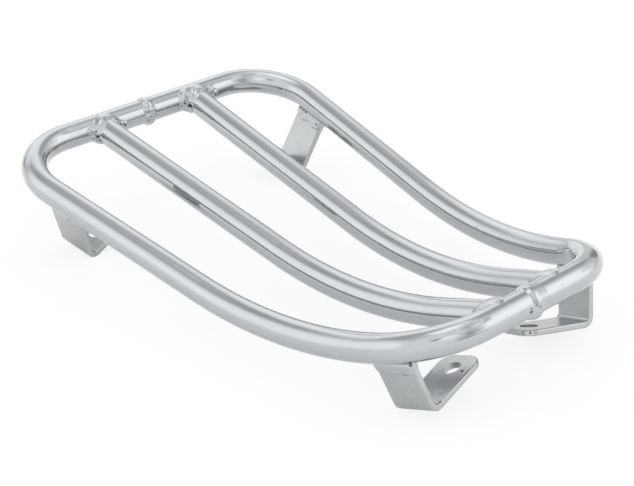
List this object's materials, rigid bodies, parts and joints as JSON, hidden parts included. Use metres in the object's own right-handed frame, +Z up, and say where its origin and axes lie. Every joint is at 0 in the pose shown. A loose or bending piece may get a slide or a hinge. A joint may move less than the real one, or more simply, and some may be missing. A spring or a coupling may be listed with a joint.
{
  "type": "motorcycle luggage rack",
  "caption": "Chromed tubular steel luggage rack with a tapered, upswept loop, inner bars and bent flat-bar feet that bolt to a mudguard.",
  "frame": {"origin": "on the middle plane, halfway between the front and rear cross tubes, at the level that the feet stand on", "axes": "+X to the right side, +Y to the wide front end by the seat, +Z up"},
  "size_m": [0.2222, 0.3376, 0.0641],
  "materials": {
    "chrome_tube": "polished chrome plate",
    "chrome_flat_bar": "duller chrome plate on flat bar",
    "chrome_weld": "chrome plate over weld beads"
  },
  "bodies": {
    "root": {"rail_left": "chrome_tube", "rail_right": "chrome_tube", "bar_left": "chrome_tube", "bar_right": "chrome_tube", "foot_front_left": "chrome_flat_bar", "foot_front_right": "chrome_flat_bar", "foot_rear_left": "chrome_flat_bar", "foot_rear_right": "chrome_flat_bar", "weld_bar_front_left": "chrome_weld", "weld_bar_front_right": "chrome_weld", "weld_bar_rear_left": "chrome_weld", "weld_bar_rear_right": "chrome_weld", "weld_foot_front_left": "chrome_weld", "weld_foot_front_right": "chrome_weld", "weld_foot_rear_left": "chrome_weld", "weld_foot_rear_right": "chrome_weld", "weld_front_seam": "chrome_weld", "weld_rear_seam": "chrome_weld"}
  },
  "joints": []
}
